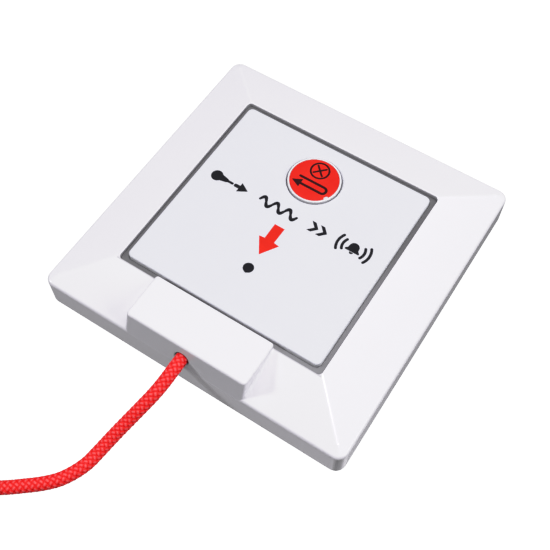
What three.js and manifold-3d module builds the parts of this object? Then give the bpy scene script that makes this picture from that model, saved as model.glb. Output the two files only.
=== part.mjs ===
// Pull cord call switch, flush wall type, lying on its back with the face up.
// Units are millimetres. The origin is the centre of the back face, +Z points out
// of the wall through the face, +Y is up the wall and the cord leaves toward -Y.
import * as THREE from 'three';
import { mergeVertices } from 'three/addons/utils/BufferGeometryUtils.js';
import { ConvexGeometry } from 'three/addons/geometries/ConvexGeometry.js';
import Module from 'manifold-3d';

const wasm = await Module();
wasm.setup();

// ---------------------------------------------------------------- shared dimensions
const PLATE_HALF = 86 / 2;         // square front frame
const SHELL = 1.7;                 // wall thickness of the frame
const INNER_HALF = PLATE_HALF - SHELL;
const PLATE_R = 2.8;               // plan corner radius

const OPENING_HALF = 57.7 / 2;     // opening in the frame
const OPENING_R = 1.0;
const OPENING_Z = 14.0;            // height of the opening's edge
const LOWERED = { y: -0.6 };       // opening, carrier and panel sit slightly low

const PANEL_HALF = 55.0 / 2;
const PANEL_Z = 14.3;

const CORD_X = -1.15;              // axis of the cord inside the switch
const CORD_Z = 10.5;
const CORD_R = 3.4 / 2;
const CORD_BORE_R = CORD_R + 0.2;  // bore of the slider and the ferrule

const LATCH = { x: 0.6, y: 20, halfWidth: 4, z: [4.7, 5.9] }; // x is how far it stands out
const CLIP_Y = 22.5;               // panel clips sit at +Y and -Y of this

const BOARD_Z = 4.8;               // underside of the circuit board
const BOARD_TOP = BOARD_Z + 1.2;
const POSTS = [[-22, 22.5], [11, 23], [-22, -15.5], [11, -22]]; // x, y of the board posts

const LENS = [-0.39, -15.09];      // x, y of the indicator
const LENS_R = 1.33;

const BUTTON = [-0.4, 15.45];      // x, y of the cancel button
const BUTTON_R = 7.0;
const BUTTON_TOP = 14.8;
const LABEL_R = 6.42;

const CALL_SWITCH = [-10, -22];    // x, y, under the slider's arm
// Plunger heights are measured from the top of the board.
const CANCEL_PLUNGER = { r: 1.7, bottom: 1.6, top: 4.3 };
const CALL_PLUNGER = { r: 1.5, bottom: 1.35, top: 3.0 };

const CELL_X = 20.4;               // 12 V cell lying along Y, centred on y = 0
const CELL_Z = 7.6;
const CELL_R = 3.95;
const CELL_LENGTH = 28;

const SLIDER_X = [-6.2, 4.0];      // slider block and the bed under it

// ---------------------------------------------------------------- helpers
// A closed geometry as a manifold, turned outside out if its faces point inward.
function solid(geometry) {
  for (const name of Object.keys(geometry.attributes)) {
    if (name !== 'position') geometry.deleteAttribute(name);
  }
  const merged = mergeVertices(geometry, 1e-5);
  const triVerts = new Uint32Array(merged.index.array);
  const vertProperties = new Float32Array(merged.attributes.position.array);
  const make = () => new wasm.Manifold(new wasm.Mesh({ numProp: 3, vertProperties, triVerts }));
  const manifold = make();
  if (manifold.volume() >= 0) return manifold;
  for (let i = 0; i < triVerts.length; i += 3) {
    [triVerts[i], triVerts[i + 1]] = [triVerts[i + 1], triVerts[i]];
  }
  return make();
}

const span = (centre, half) => [centre - half, centre + half];
const aboveBoard = (low, high) => [BOARD_TOP + low, BOARD_TOP + high];
const union = (solids) => solids.reduce((sum, part) => sum.add(part));

// The two ends of each range may come in either order.
function box(...ranges) {
  const sizes = ranges.map(([a, b]) => Math.abs(b - a));
  const centre = ranges.map(([a, b]) => (a + b) / 2);
  return solid(new THREE.BoxGeometry(...sizes).translate(...centre));
}

function cylinderZ([x, y], [z0, z1], r, segments = 24, topR = r) {
  const geometry = new THREE.CylinderGeometry(topR, r, z1 - z0, segments);
  return solid(geometry.rotateX(Math.PI / 2).translate(x, y, (z0 + z1) / 2));
}

function cylinderY([x, z], [y0, y1], r, segments = 24) {
  const geometry = new THREE.CylinderGeometry(r, r, y1 - y0, segments);
  return solid(geometry.translate(x, (y0 + y1) / 2, z));
}

const toShape = (points) => new THREE.Shape(points.map(([a, b]) => new THREE.Vector2(a, b)));
const extrude = (points, depth) =>
  new THREE.ExtrudeGeometry(toShape(points), { depth, bevelEnabled: false });

const prismZ = (outline, [z0, z1]) => solid(extrude(outline, z1 - z0).translate(0, 0, z0));

// a profile of [y, z] points carried along X
function prismX(profile, [x0, x1]) {
  const axes = new THREE.Matrix4().makeBasis(
    new THREE.Vector3(0, 1, 0), new THREE.Vector3(0, 0, 1), new THREE.Vector3(1, 0, 0));
  return solid(extrude(profile, x1 - x0).applyMatrix4(axes).translate(x0, 0, 0));
}

// [x, y] outline of a rectangle with rounded corners; steps divide each corner
function roundedRect(half, r, { x = 0, y = 0, halfY = half, steps = 5 } = {}) {
  const outline = [];
  for (let quarter = 0; quarter < 4; quarter++) {
    const signX = quarter === 0 || quarter === 3 ? 1 : -1;
    const signY = quarter < 2 ? 1 : -1;
    for (let i = 0; i <= steps; i++) {
      const angle = (Math.PI / 2) * (quarter + i / steps);
      outline.push([
        x + signX * (half - r) + r * Math.cos(angle),
        y + signY * (halfY - r) + r * Math.sin(angle),
      ]);
    }
  }
  return outline;
}
const slab = (half, r, z, options) => prismZ(roundedRect(half, r, options), z);

// points of a hull: an outline placed at a height
const layer = (outline, z) => outline.map(([x, y]) => new THREE.Vector3(x, y, z));
const ring = (half, r, z, options) => layer(roundedRect(half, r, options), z);
const hull = (...layers) => solid(new ConvexGeometry(layers.flat()));

const circle = ([x, y], r, sides) => Array.from({ length: sides }, (_, i) => {
  const angle = (2 * Math.PI * i) / sides;
  return [x + r * Math.cos(angle), y + r * Math.sin(angle)];
});

// four equal blocks at +offsetY and -offsetY on the +X and -X sides
const fourBlocks = ([x0, x1], offsetY, halfWidth, z) => union([-1, 1].flatMap((side) =>
  [-offsetY, offsetY].map((y) => box([side * x0, side * x1], span(y, halfWidth), z))));

// profiles of [radius, height] points turned about Y, or stood up along Z
const lathe = (profile, segments) =>
  new THREE.LatheGeometry(profile.map(([r, h]) => new THREE.Vector2(r, h)), segments);
const turnedZ = (profile, [x, y], segments) =>
  solid(lathe(profile, segments).rotateX(Math.PI / 2).translate(x, y, BOARD_TOP));

function sweep(curve, r, sides, steps) {
  const section = toShape(circle([0, 0], r, sides));
  section.closePath();
  return solid(new THREE.ExtrudeGeometry(section,
    { steps, bevelEnabled: false, extrudePath: curve }));
}

// Helix along Y; a negative length runs toward -Y.
class Helix extends THREE.Curve {
  constructor(size) {
    super();
    this.size = size;
  }
  getPoint(t, target = new THREE.Vector3()) {
    const { start: [x, y, z], length, r, endR, turns } = this.size;
    const angle = 2 * Math.PI * turns * t;
    const radius = r + (endR - r) * t;
    return target.set(
      x + radius * Math.cos(angle), y + length * t, z + radius * Math.sin(angle));
  }
}
const coil = ({ start, length, r, endR = r, turns, wire }) =>
  sweep(new Helix({ start, length, r, endR, turns }), wire / 2, 5, Math.round(turns * 12));

// ---------------------------------------------------------------- materials
const material = (settings) => new THREE.MeshStandardMaterial(settings);
const MAT = {
  housing: material({ color: 0xf0eff3, roughness: 0.38 }),
  panel: material({ color: 0xe6e6ea, roughness: 0.42 }),
  grey: material({ color: 0x8f8f93, roughness: 0.4 }),
  base: material({ color: 0xe2e2e4, roughness: 0.5 }),
  label: material({ color: 0xe42114, roughness: 0.35 }),
  cord: material({ color: 0xee1c1c, roughness: 0.8 }),
  lens: material({ color: 0x1b1c23, roughness: 0.15 }),
  board: material({ color: 0x1f6b3a, roughness: 0.45 }),
  chip: material({ color: 0x1d1d1f, roughness: 0.5 }),
  tin: material({ color: 0xc9c9cc, roughness: 0.3, metalness: 0.9 }),
  spring: material({ color: 0xb5b5b8, roughness: 0.3, metalness: 1 }),
  copper: material({ color: 0xb5633a, roughness: 0.3, metalness: 1 }),
  cell: material({ color: 0x2b3f73, roughness: 0.35, metalness: 0.3 }),
  led: material({ color: 0xd6dbe2, roughness: 0.15 }),
  slider: material({ color: 0xf4f4f1, roughness: 0.35 }),
  switchBlack: material({ color: 0x232326, roughness: 0.5 }),
  ferrule: material({ color: 0xc7a64b, roughness: 0.3, metalness: 1 }),
};

// ---------------------------------------------------------------- front frame
const RIM_Z = 8.7;             // height where the side wall meets the slope
const EDGE_R = 0.65;           // rounding of that edge
const SLOPE = (OPENING_Z - RIM_Z) / (PLATE_HALF - OPENING_HALF);
const EDGE_ARC = Math.PI / 2 - Math.atan(SLOPE);  // angle the rounding turns through
const EDGE_Z = RIM_Z - EDGE_R * Math.tan(EDGE_ARC / 2);

function frameBody() {
  const edgeRing = (angle) => {
    const inset = EDGE_R - EDGE_R * Math.cos(angle);
    return ring(PLATE_HALF - inset, PLATE_R - inset, EDGE_Z + EDGE_R * Math.sin(angle));
  };
  return hull(ring(PLATE_HALF, PLATE_R, 0),
    edgeRing(0), edgeRing(EDGE_ARC / 2), edgeRing(EDGE_ARC),
    ring(OPENING_HALF, OPENING_R, OPENING_Z, LOWERED));
}

function frameCavity() {
  const r = PLATE_R - SHELL;
  const topHalf = 28;
  const ceiling = (inset) => RIM_Z + SLOPE * inset - 1.8; // 1.8 below the outer slope
  return hull(ring(INNER_HALF, r, -1), ring(INNER_HALF, r, ceiling(SHELL)),
    ring(topHalf, 1, ceiling(PLATE_HALF - topHalf), LOWERED));
}

// The nose is the raised block around the cord at the lower edge.
const NOSE = {
  x: -0.73,                    // a little left of centre
  topHalf: 16.8,
  baseHalf: 16.8 + 0.15,
  z: 14.9,
  upperY: -28.9,               // overhangs the opening's edge
  lowerY: -41.25,              // lower edge of the top, before its bevel
  bevel: 0.45,
};
const NOSE_CAVITY = { x: [-14.6, 14.6], y: [-40.4, -30.75], roof: 13.3 };

function noseBlock() {
  const { topHalf, baseHalf, z, lowerY, bevel } = NOSE;
  const corners = (half, y, height) => layer(
    [y, NOSE.upperY].flatMap((edge) => [[NOSE.x - half, edge], [NOSE.x + half, edge]]), height);
  return hull(
    corners(baseHalf, -PLATE_HALF, 4),
    corners(baseHalf, -PLATE_HALF, EDGE_Z),
    corners(topHalf, lowerY - 0.14, z - bevel),
    corners(topHalf - bevel, lowerY + 0.35, z));
}

function frontFrame() {
  const body = frameBody();
  const nose = noseBlock();
  const skirt = slab(OPENING_HALF + 1.3, OPENING_R + 1.3, [11.85, OPENING_Z], LOWERED);
  // lip of the nose over the groove
  const lip = nose.intersect(box(span(NOSE.x, NOSE.baseHalf),
    [LOWERED.y - OPENING_HALF - 0.6, NOSE.upperY], [13.4, NOSE.z]));
  const cordHole = cylinderY([CORD_X, CORD_Z], [-44, NOSE_CAVITY.y[0] + 0.5], 3.9 / 2, 28);
  // pockets for the base's four latches
  const play = 0.4;
  const pockets = fourBlocks([INNER_HALF - 0.2, INNER_HALF + 0.75], LATCH.y,
    LATCH.halfWidth + play, [LATCH.z[0] - play, LATCH.z[1] + play]);
  // pry notch in the edge at +Y
  const notch = box([-4, 4], [INNER_HALF - 0.5, PLATE_HALF + 1], [-1, 1.1]);
  return body.add(nose)
    .subtract(frameCavity())
    .subtract(box(NOSE_CAVITY.x, NOSE_CAVITY.y, [-1, NOSE_CAVITY.roof]))
    .add(skirt.intersect(body))
    .subtract(slab(OPENING_HALF, OPENING_R, [-1, 20], LOWERED))
    .add(lip)
    .subtract(cordHole)
    .subtract(pockets)
    .subtract(notch);
}

// ---------------------------------------------------------------- wall base
const BASE_HALF = INNER_HALF - 0.3;
const FLOOR = 1.8;
const ROOT = FLOOR - 0.1;      // raised features start just inside the floor
const SCREW_PITCH = 60.3;      // standard wall box spacing
const SLOT = [4.4, 8.0];       // width, length of the screw slots
const COUNTERBORE = [8.6, 12.2];
const SLIDER_BED_Y = [-38.9, -30.9];
const RIB_HALF = 0.6;
const RIB_END = 39.8;
const CRADLE_TOP_X = CELL_X + 4.7;   // +X end of the cradle and its end walls

// x range, y range, top height
const CRADLE = [-9, 9].map((y) => [[CELL_X - 5.2, CRADLE_TOP_X], span(y, 0.7), 7.0]);
const UPRIGHTS = [
  // end walls of the cell
  [[CELL_X - 4.9, CRADLE_TOP_X], [16.4, 17.8], 9.9],
  [[CELL_X - 4.9, CRADLE_TOP_X], [-20.4, -19.0], 9.9],
  // bed and rails of the slider
  [SLIDER_X, SLIDER_BED_Y, 7.5],
  [[SLIDER_X[0], -4.5], SLIDER_BED_Y, 8.15],
  [[2.2, SLIDER_X[1]], SLIDER_BED_Y, 8.15],
  // walls beside the slider, on its +X and -X sides
  [[4.3, 5.7], SLIDER_BED_Y, 10.0],
  [[-14.3, -13.3], [-38.9, -27.5], 8.0],
  // stiffening ribs
  [span(-36, RIB_HALF), [-RIB_END, RIB_END], 3.4],
  [span(36, RIB_HALF), [-RIB_END, RIB_END], 3.4],
  [[-RIB_END, RIB_END], span(33, RIB_HALF), 3.4],
  [[-RIB_END, -16], span(-33, RIB_HALF), 3.4],
  [[7, RIB_END], span(-33, RIB_HALF), 3.4],
];
const uprights = (rows) => union(rows.map(([x, y, top]) => box(x, y, [ROOT, top])));

function wallBase() {
  let base = slab(BASE_HALF, 1.7, [0, FLOOR])
    .add(slab(BASE_HALF, 1.7, [ROOT, 6.8]).subtract(slab(BASE_HALF - 1.5, 0.6, [1.6, 7.4])))
    .add(fourBlocks([BASE_HALF - 0.2, BASE_HALF + LATCH.x], LATCH.y, LATCH.halfWidth, LATCH.z));
  // screw slots with a raised seat and a counterbore
  for (const x of [-SCREW_PITCH / 2, SCREW_PITCH / 2]) {
    const slot = ([width, length], z) =>
      slab(width / 2, width / 2 - 0.01, z, { x, halfY: length / 2, steps: 6 });
    base = base.add(slab(6.6, 6.0, [ROOT, 3.0], { x, halfY: 7.6 }))
      .subtract(slot(SLOT, [-1, 4]))
      .subtract(slot(COUNTERBORE, [FLOOR, 4]));
  }
  // recesses in the back for adhesive pads
  for (const y of [-22, 22]) base = base.subtract(slab(13, 2, [-1, 0.5], { y, halfY: 9 }));
  for (const post of POSTS) {
    base = base.add(cylinderZ(post, [ROOT, BOARD_Z - 0.02], 2.6, 20))
      .subtract(cylinderZ(post, [0.9, 6], 1.05, 12));
  }
  return base.add(uprights(CRADLE))
    .subtract(cylinderY([CELL_X, CELL_Z], [-16, 16], CELL_R + 0.25, 28))
    .add(uprights(UPRIGHTS));
}

// ---------------------------------------------------------------- carrier and panel
const RIM_GAP = 0.15;          // carrier rim to the opening and to the panel

function panelCarrier() {
  // raised rim that fills the bottom of the groove around the panel
  const rim = slab(OPENING_HALF - RIM_GAP, 0.9, [11.7, 13.0], LOWERED)
    .subtract(slab(PANEL_HALF + RIM_GAP, 1.6, [11.6, 13.2], LOWERED));
  return slab(29.3, 2.0, [10.3, 11.8], LOWERED)
    .subtract(slab(25, 1, [9.4, 12.4], LOWERED))
    .subtract(fourBlocks([24.5, 25.6], CLIP_Y, 2.2, [9.4, 12.4]))
    .add(rim);
}

function centrePanel() {
  const cornerR = 1.5;
  const underside = PANEL_Z - 1.6;
  // inset from the side and drop from the face, up the rounded edge
  const edge = [[0, PANEL_Z - underside], [0, 0.35], [0.1, 0.1], [0.35, 0]];
  const plate = hull(...edge.map(([inset, drop]) =>
    ring(PANEL_HALF - inset, cornerR - inset, PANEL_Z - drop, LOWERED)));
  const flange = slab(PANEL_HALF, cornerR, [11.9, underside + 0.1], LOWERED)
    .subtract(slab(PANEL_HALF - 1.2, 0.6, [11.4, 13.4], LOWERED));
  // clips and the hooks on their outer sides
  const clips = fourBlocks([23.7, 24.9], CLIP_Y, 1.8, [9.3, 12.8])
    .add(fourBlocks([24.8, 25.35], CLIP_Y, 1.8, [9.3, 10.0]));
  return plate.add(flange).add(clips)
    .subtract(cylinderZ(BUTTON, [10, 16], BUTTON_R + 0.25, 48))
    .subtract(cylinderZ(LENS, [10, 16], LENS_R + 0.04, 24));
}

const indicatorLens = () => cylinderZ(LENS, [10.8, PANEL_Z + 0.04], LENS_R)
  .add(cylinderZ(LENS, [11.9, 12.65], 2.3));

// ---------------------------------------------------------------- board and its parts
// radius, height above the board
const LED_PROFILE = [
  [0, 0], [1.9, 0], [1.9, 0.9], [1.5, 0.9], [1.5, 2.9], [1.3, 3.65], [0.78, 4.2], [0, 4.4],
];
const RESONATOR_PROFILE = [
  [0, 0], [4.6, 0], [4.6, 0.4], [4.15, 0.5], [4.15, 3.0], [3.9, 3.3], [0, 3.3],
];
const CAPACITOR_PROFILE = [
  [0, 0], [2.5, 0], [2.5, 0.7], [2.3, 0.9], [2.5, 1.1], [2.5, 5.1], [2.3, 5.4], [0, 5.4],
];
// x, y
const BOARD_OUTLINE = [[-25, -17.5], [-16, -26.5], [14.4, -26.5], [14.4, 26], [-25, 26]];

function circuitBoard() {
  const holes = POSTS.map((post) => cylinderZ(post, [2, 8], 1.25, 16));
  return prismZ(BOARD_OUTLINE, [BOARD_Z, BOARD_TOP]).subtract(union(holes));
}

// Each of the eight bars passes under the body and shows as a pair of leads.
function encoderChip() {
  const [x, y] = [-14, 3.8];
  const leadPitch = 1.27;
  let chip = box(span(x, 5.1), span(y, 3.6), aboveBoard(0.15, 2.35));
  for (let i = 0; i < 8; i++) {
    const leadX = x + (i - 3.5) * leadPitch;
    chip = chip.add(box(span(leadX, 0.21), span(y, 4.9), aboveBoard(0.02, 0.3)));
  }
  return chip;
}

const antennaCoil = () =>
  coil({ start: [-21.6, -10.5, BOARD_TOP + 2.65], length: 22, r: 2.1, turns: 9, wire: 0.8 });

function boardScrew([x, y]) {
  const [slotLong, slotWide] = [1.1, 0.22];
  const slotZ = aboveBoard(0.7, 2);
  return cylinderZ([x, y], [1.2, BOARD_TOP + 0.3], 0.95, 12)
    .add(cylinderZ([x, y], aboveBoard(0.03, 1.3), 2.0, 20, 1.7))
    .subtract(box(span(x, slotLong), span(y, slotWide), slotZ))
    .subtract(box(span(x, slotWide), span(y, slotLong), slotZ));
}

// ---------------------------------------------------------------- cell and contacts
function battery() {
  const shoulder = CELL_LENGTH - 1;
  // radius, distance from the -Y end
  const profile = [
    [0, 0], [3.4, 0], [CELL_R, 0.4], [CELL_R, shoulder - 0.4], [3.4, shoulder],
    [2.1, shoulder], [2.1, CELL_LENGTH], [0, CELL_LENGTH],
  ];
  return solid(lathe(profile, 28).translate(CELL_X, -CELL_LENGTH / 2, CELL_Z));
}

// upright plate with a tab over the board
const contactPlate = (y) => box(span(CELL_X, 3.4), y, [3.8, 11.2])
  .add(box([11.6, CELL_X - 3.3], y, aboveBoard(0.03, 1.6)));

function positiveContact() {
  // y, z of the wedge that reaches the cell
  const wedge = [[14.15, 7.3], [15.5, 6.2], [15.5, 9.0], [14.15, 8.1]];
  return contactPlate([15.4, 15.9]).add(prismX(wedge, span(CELL_X, 1.4)));
}

const negativeSpring = () => contactPlate([-18.2, -17.75]).add(coil({
  start: [CELL_X, -14.45, CELL_Z], length: -3.3, r: 1.5, endR: 3.0, turns: 3.4, wire: 0.6,
}));

// ---------------------------------------------------------------- switches and button
const switchBody = ([x, y], height, wellFloor, plunger) =>
  box(span(x, 3), span(y, 3), aboveBoard(0.02, height))
    .subtract(cylinderZ([x, y], aboveBoard(wellFloor, height + 1), plunger.r + 0.25, 20));
const switchPlunger = (place, { r, bottom, top }) =>
  cylinderZ(place, aboveBoard(bottom, top), r, 20);

function cancelButton() {
  const bevel = 0.4;
  const disc = (r, z) => layer(circle(BUTTON, r, 40), z);
  return hull(disc(BUTTON_R, 11.8), disc(BUTTON_R, BUTTON_TOP - bevel),
    disc(BUTTON_R - bevel, BUTTON_TOP))
    // flange under the panel, then the hollow from below
    .add(cylinderZ(BUTTON, [11.7, 12.55], BUTTON_R + 0.9, 40))
    .subtract(cylinderZ(BUTTON, [10, 13.2], BUTTON_R - 1.2, 32))
    // stem down to the plunger, and the seat of the label
    .add(cylinderZ(BUTTON, [BOARD_TOP + CANCEL_PLUNGER.top + 0.05, 13.6], 2.1, 20))
    .subtract(cylinderZ(BUTTON, [BUTTON_TOP - 0.25, BUTTON_TOP + 1], LABEL_R + 0.06, 40));
}

const cancelLabel = () => cylinderZ(BUTTON, [BUTTON_TOP - 0.22, BUTTON_TOP], LABEL_R, 40);

// ---------------------------------------------------------------- pull slider
const PULL = 3.5;              // cord travel
const CAM = 0.2;               // plunger drop for each millimetre of pull

function pullSlider() {
  const y = [-34.3, -31.0];
  const bottom = 8.3;
  const armTop = 9.8;
  const armEnd = -13.0;
  const callY = CALL_SWITCH[1];
  const plungerEdge = callY + CALL_PLUNGER.r;
  const rampPoint = (at) =>
    [at, BOARD_TOP + CALL_PLUNGER.top + 0.05 - CAM * (at - plungerEdge)];
  // y, z of the arm over the call switch, with the ramp on its underside
  const arm = [
    [y[0], bottom], [callY - 3.4, bottom],
    rampPoint(callY - 1.8), rampPoint(plungerEdge + PULL + 0.1),
    [callY + 6.2, 8.7], [callY + 6.2, 10.1], [callY - 2, 10.1],
    [callY - 4, armTop], [y[0], armTop],
  ];
  return box(SLIDER_X, y, [bottom, 12.9])
    .add(box([armEnd, SLIDER_X[0] + 0.2], y, [bottom, armTop]))
    .add(prismX(arm, [armEnd, -7.0]))
    .subtract(cylinderY([CORD_X, CORD_Z], [-36, -30], CORD_BORE_R))
    .subtract(cylinderY([CORD_X, CORD_Z], [-33.1, -30], 2.75, 28));
}

const cordFerrule = () => cylinderY([CORD_X, CORD_Z], [-33.05, -31.15], 2.5)
  .subtract(cylinderY([CORD_X, CORD_Z], [-34, -30], CORD_BORE_R));

const returnSpring = () =>
  coil({ start: [CORD_X, -40.05, CORD_Z], length: 5.4, r: 2.55, turns: 4.5, wire: 0.5 });

// ---------------------------------------------------------------- cord
const NECK_START = new THREE.Vector3(CORD_X, -45.4, CORD_Z - 0.05);
const SWEPT_R = CORD_R * 0.985;  // a little inside the ball at the start of each length
// x, y, z along the centre of the tail
const TAIL = [
  [-1.7, -52.5, 9.3], [-2.79, -56.54, 7.64], [-3.99, -60.26, 5.74],
  [-4.97, -63.41, 4.2], [-5.74, -66.38, 2.97], [-6.38, -69.56, 2.12],
  [-6.84, -72.15, 1.79], [-7.94, -75.34, 1.75], [-9.83, -78.74, 1.75],
  [-12.52, -81.65, 1.75], [-15.62, -84.27, 1.75], [-18.81, -86.78, 1.75],
  [-22.21, -89.09, 1.75], [-25.9, -91.01, 1.75], [-29.9, -92.64, 1.75],
].map((point) => new THREE.Vector3(...point));

const ball = ({ x, y, z }) => solid(new THREE.SphereGeometry(CORD_R, 16, 10).translate(x, y, z));

const cordLead = () => cylinderY([CORD_X, CORD_Z], [-43.35, -31.2], CORD_R, 16);

// The neck stops just short of the ball that starts the tail.
function cordNeck() {
  const direction = TAIL[0].clone().sub(NECK_START).normalize();
  const end = TAIL[0].clone().addScaledVector(direction, -(CORD_R + 0.35));
  return ball(NECK_START).add(sweep(new THREE.LineCurve3(NECK_START, end), SWEPT_R, 16, 1));
}

function cordTail() {
  const curve = new THREE.CatmullRomCurve3(TAIL, false, 'centripetal');
  return ball(TAIL[0]).add(sweep(curve, SWEPT_R, 14, 34));
}

// ---------------------------------------------------------------- assembly
const root = new THREE.Group();
function add(name, manifold, mat) {
  const { vertProperties, triVerts } = manifold.getMesh();
  const geometry = new THREE.BufferGeometry();
  geometry.setAttribute('position',
    new THREE.BufferAttribute(new Float32Array(vertProperties), 3));
  geometry.setIndex(new THREE.BufferAttribute(new Uint32Array(triVerts), 1));
  geometry.computeVertexNormals();
  const mesh = new THREE.Mesh(geometry, mat);
  mesh.name = name;
  root.add(mesh);
}

add('front_frame', frontFrame(), MAT.housing);
add('wall_base', wallBase(), MAT.base);
add('panel_carrier', panelCarrier(), MAT.grey);
add('centre_panel', centrePanel(), MAT.panel);
add('indicator_lens', indicatorLens(), MAT.lens);
add('status_led', turnedZ(LED_PROFILE, LENS, 20), MAT.led);
add('circuit_board', circuitBoard(), MAT.board);
add('encoder_chip', encoderChip(), MAT.chip);
add('saw_resonator', turnedZ(RESONATOR_PROFILE, [-1.2, 2.2], 28), MAT.tin);
add('buffer_capacitor', turnedZ(CAPACITOR_PROFILE, [9.4, -4.5], 24), MAT.cell);
add('antenna_coil', antennaCoil(), MAT.copper);
POSTS.forEach((post, i) => add(`board_screw_${i + 1}`, boardScrew(post), MAT.tin));
add('battery', battery(), MAT.cell);
add('battery_contact_positive', positiveContact(), MAT.tin);
add('battery_spring_negative', negativeSpring(), MAT.spring);
add('cancel_switch_body', switchBody(BUTTON, 3.4, 0.8, CANCEL_PLUNGER), MAT.switchBlack);
add('cancel_switch_plunger', switchPlunger(BUTTON, CANCEL_PLUNGER), MAT.chip);
add('cancel_button', cancelButton(), MAT.housing);
add('cancel_label', cancelLabel(), MAT.label);
add('call_switch_body', switchBody(CALL_SWITCH, 1.8, 0.6, CALL_PLUNGER), MAT.switchBlack);
add('call_switch_plunger', switchPlunger(CALL_SWITCH, CALL_PLUNGER), MAT.chip);
add('pull_slider', pullSlider(), MAT.slider);
add('cord_ferrule', cordFerrule(), MAT.ferrule);
add('return_spring', returnSpring(), MAT.spring);
add('cord_lead', cordLead(), MAT.cord);
add('cord_neck', cordNeck(), MAT.cord);
add('cord_tail', cordTail(), MAT.cord);

export default root;
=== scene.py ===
"""A wall-mounted call unit: a square frame with a raised nose, a panel with a cancel button and
an indicator, and a braided pull cord. The frame stands on z = 0 and faces +Z. The cord leaves
through the -Y side, drops to the floor and trails off towards -X and -Y."""
import math
import bpy
import bmesh
import numpy as np
from mathutils import Matrix, Vector

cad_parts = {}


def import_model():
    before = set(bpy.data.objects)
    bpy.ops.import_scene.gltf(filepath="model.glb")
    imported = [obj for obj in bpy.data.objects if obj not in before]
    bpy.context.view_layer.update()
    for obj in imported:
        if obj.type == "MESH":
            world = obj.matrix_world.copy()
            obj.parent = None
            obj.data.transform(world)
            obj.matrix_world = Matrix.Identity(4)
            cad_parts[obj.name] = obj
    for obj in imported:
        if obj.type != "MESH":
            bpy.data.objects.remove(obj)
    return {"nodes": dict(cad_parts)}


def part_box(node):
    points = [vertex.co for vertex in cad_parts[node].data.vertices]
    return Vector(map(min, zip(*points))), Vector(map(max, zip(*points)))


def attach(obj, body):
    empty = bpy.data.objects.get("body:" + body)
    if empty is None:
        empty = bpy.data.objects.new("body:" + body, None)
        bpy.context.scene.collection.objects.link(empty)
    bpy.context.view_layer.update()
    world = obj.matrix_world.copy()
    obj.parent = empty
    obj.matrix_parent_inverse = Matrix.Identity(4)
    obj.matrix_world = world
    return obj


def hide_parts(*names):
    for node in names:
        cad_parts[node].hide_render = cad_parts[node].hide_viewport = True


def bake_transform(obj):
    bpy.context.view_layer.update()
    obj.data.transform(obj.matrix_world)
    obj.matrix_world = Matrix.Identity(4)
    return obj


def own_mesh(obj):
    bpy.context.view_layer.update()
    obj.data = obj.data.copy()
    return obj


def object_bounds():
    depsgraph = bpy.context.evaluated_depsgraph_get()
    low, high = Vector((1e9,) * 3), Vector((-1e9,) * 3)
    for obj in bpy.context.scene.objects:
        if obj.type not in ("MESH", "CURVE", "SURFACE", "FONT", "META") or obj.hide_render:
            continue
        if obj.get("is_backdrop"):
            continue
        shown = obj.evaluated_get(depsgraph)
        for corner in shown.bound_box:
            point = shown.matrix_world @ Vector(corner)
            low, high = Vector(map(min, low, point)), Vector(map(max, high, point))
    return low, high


cad_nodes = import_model()["nodes"]
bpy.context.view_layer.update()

# ---------------------------------------------------------------- sizes, in millimetres
MM = 0.001                        # one millimetre in scene units

HALF = 43.0                       # half the width of the frame
CORNER_R = 2.8
RIM_Z, CREST_Z = 8.7, 14.0        # height of the slope at the outer rim and at the opening
OPEN_HALF, OPEN_Y, OPEN_R = 28.85, -0.6, 1.0    # the square opening for the panel
SLOPE = (CREST_Z - RIM_Z) / (HALF - OPEN_HALF)
WALL = 1.7

NOSE_HALF, NOSE_X = 16.8, -0.73   # half width and middle of the nose
NOSE_Z, NOSE_FOOT_Z = 14.9, 8.0   # its top, and the foot of its -Y face
NOSE_Y0, NOSE_Y1 = -41.25, -28.9  # its top runs between these

PANEL_HALF, PANEL_R = 27.5, 1.5
PANEL_Z, PANEL_T = 14.3, 1.6      # top and thickness

BUTTON = (-0.4, 15.45)
BUTTON_R, BUTTON_Z = 7.0, 14.8
BUTTON_HOLE_R = 7.25
LABEL_R = 6.42
LENS = (-0.39, -15.09)
LENS_R = 1.33

CORD_X, CORD_Z = -1.15, 10.5      # where the cord passes through the frame
CORD_R, CORD_HOLE_R = 1.7, 1.95


# ---------------------------------------------------------------- distance fields
def smooth_max(a, b, width):
    h = np.clip(0.5 + 0.5 * (a - b) / width, 0, 1)
    return b * (1 - h) + a * h + width * h * (1 - h)


def rounded_square(x, y, half, radius, soft=0.0):
    """distance to a square with round corners; soft blends the ridge along its diagonals"""
    qx, qy = np.abs(x) - (half - radius), np.abs(y) - (half - radius)
    inner = smooth_max(qx, qy, soft) if soft else np.maximum(qx, qy)
    return np.hypot(np.maximum(qx, 0), np.maximum(qy, 0)) + np.minimum(inner, 0) - radius


def intersect(a, b, radius):
    """intersection with a rounded edge"""
    outside = np.hypot(np.maximum(radius + a, 0), np.maximum(radius + b, 0))
    return np.minimum(-radius, np.maximum(a, b)) + outside


def unite(a, b, radius):
    """union with a filleted inner edge"""
    radius = np.maximum(radius, 1e-6)
    inside = np.hypot(np.maximum(radius - a, 0), np.maximum(radius - b, 0))
    return np.maximum(radius, np.minimum(a, b)) - inside


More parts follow.
